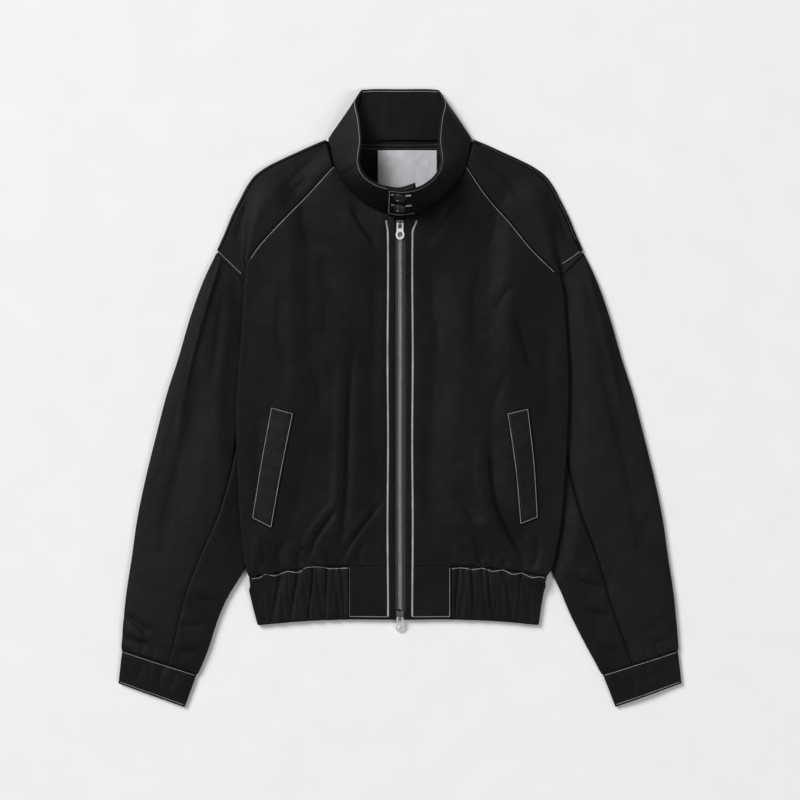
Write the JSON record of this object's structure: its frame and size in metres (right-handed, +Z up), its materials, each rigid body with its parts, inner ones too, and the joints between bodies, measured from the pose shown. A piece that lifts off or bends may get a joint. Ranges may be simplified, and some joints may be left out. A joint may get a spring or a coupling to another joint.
{
  "type": "harrington jacket",
  "caption": "Black cotton harrington jacket laid flat on its back, front zipped, stand collar buttoned, with slanted pocket welts, a gathered hem band and plain cuffs.",
  "frame": {"origin": "on the underside of the back, on the line of the zip, half way along the jacket as it lies", "axes": "+Y towards the collar, +Z up off the surface, +X towards the wearer's left side"},
  "size_m": [0.7626, 0.8335, 0.0734],
  "materials": {
    "twill": "matte",
    "tape": "satin",
    "nickel": "satin",
    "buttons": "semi-gloss",
    "label": "satin"
  },
  "bodies": {
    "jacket": {"back": "twill", "collar": "twill", "collar_button_lower": "buttons", "collar_button_upper": "buttons", "cuff_left": "twill", "cuff_right": "twill", "front_left": "twill", "front_right": "twill", "hem_band": "twill", "hem_tab_left": "twill", "hem_tab_right": "twill", "neck_label": "label", "pocket_welt_left": "twill", "pocket_welt_right": "twill", "shoulder_left": "twill", "shoulder_right": "twill", "sleeve_under_left": "twill", "sleeve_under_right": "twill", "sleeve_upper_left": "twill", "sleeve_upper_right": "twill", "slider_bottom": "nickel", "slider_top": "nickel", "zip_tape_left": "tape", "zip_tape_right": "tape", "zip_teeth": "nickel"},
    "tab_top": {"pull_tab_top": "nickel"},
    "tab_bottom": {"pull_tab_bottom": "nickel"}
  },
  "joints": [
    {"name": "top_pull_tab", "type": "hinge", "parent": "jacket", "child": "tab_top", "pos_m": [0, 0.234, 0.0167], "axis": [-1, 0, 0], "range_deg": [0, 110]},
    {"name": "bottom_pull_tab", "type": "hinge", "parent": "jacket", "child": "tab_bottom", "pos_m": [0, -0.296, 0.0087], "axis": [-1, 0, 0], "range_deg": [0, 190]}
  ]
}
